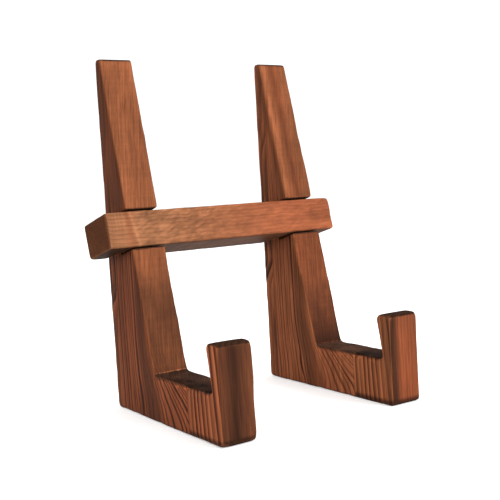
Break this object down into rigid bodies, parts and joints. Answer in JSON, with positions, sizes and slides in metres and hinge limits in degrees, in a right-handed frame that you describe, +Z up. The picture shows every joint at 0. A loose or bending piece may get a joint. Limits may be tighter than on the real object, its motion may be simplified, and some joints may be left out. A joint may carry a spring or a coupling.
{
  "type": "tabletop easel",
  "caption": "Knock-down wooden display easel: J-shaped uprights with a ledge and upturned tip, joined by a crossbar in cross-halving joints.",
  "frame": {"origin": "on the table, under the middle of the easel's bounding box", "axes": "+Z up, +X to the right across the two uprights, +Y to the back; the ledges point to -Y"},
  "size_m": [0.2064, 0.1588, 0.267],
  "materials": {
    "back_strip_wood": "oiled reddish-brown softwood, brushed, satin",
    "stile_wood": "oiled reddish-brown softwood, brushed, satin",
    "toe_block_wood": "oiled reddish-brown softwood with strong growth rings, brushed, satin",
    "crossbar_wood": "oiled light tan softwood, fine straight grain, satin"
  },
  "bodies": {
    "left_upright": {"left_back_strip": "back_strip_wood", "left_stile": "stile_wood", "left_toe_block": "toe_block_wood"},
    "crossbar": {"crossbar": "crossbar_wood"},
    "right_upright": {"right_back_strip": "back_strip_wood", "right_stile": "stile_wood", "right_toe_block": "toe_block_wood"}
  },
  "joints": [
    {"name": "crossbar_slide", "type": "slide", "parent": "left_upright", "child": "crossbar", "axis": [0, -0.969, 0.247], "range_m": [0, 0.025]},
    {"name": "right_upright_slide", "type": "slide", "parent": "crossbar", "child": "right_upright", "axis": [0, 0.969, -0.247], "range_m": [0, 0.025]}
  ]
}
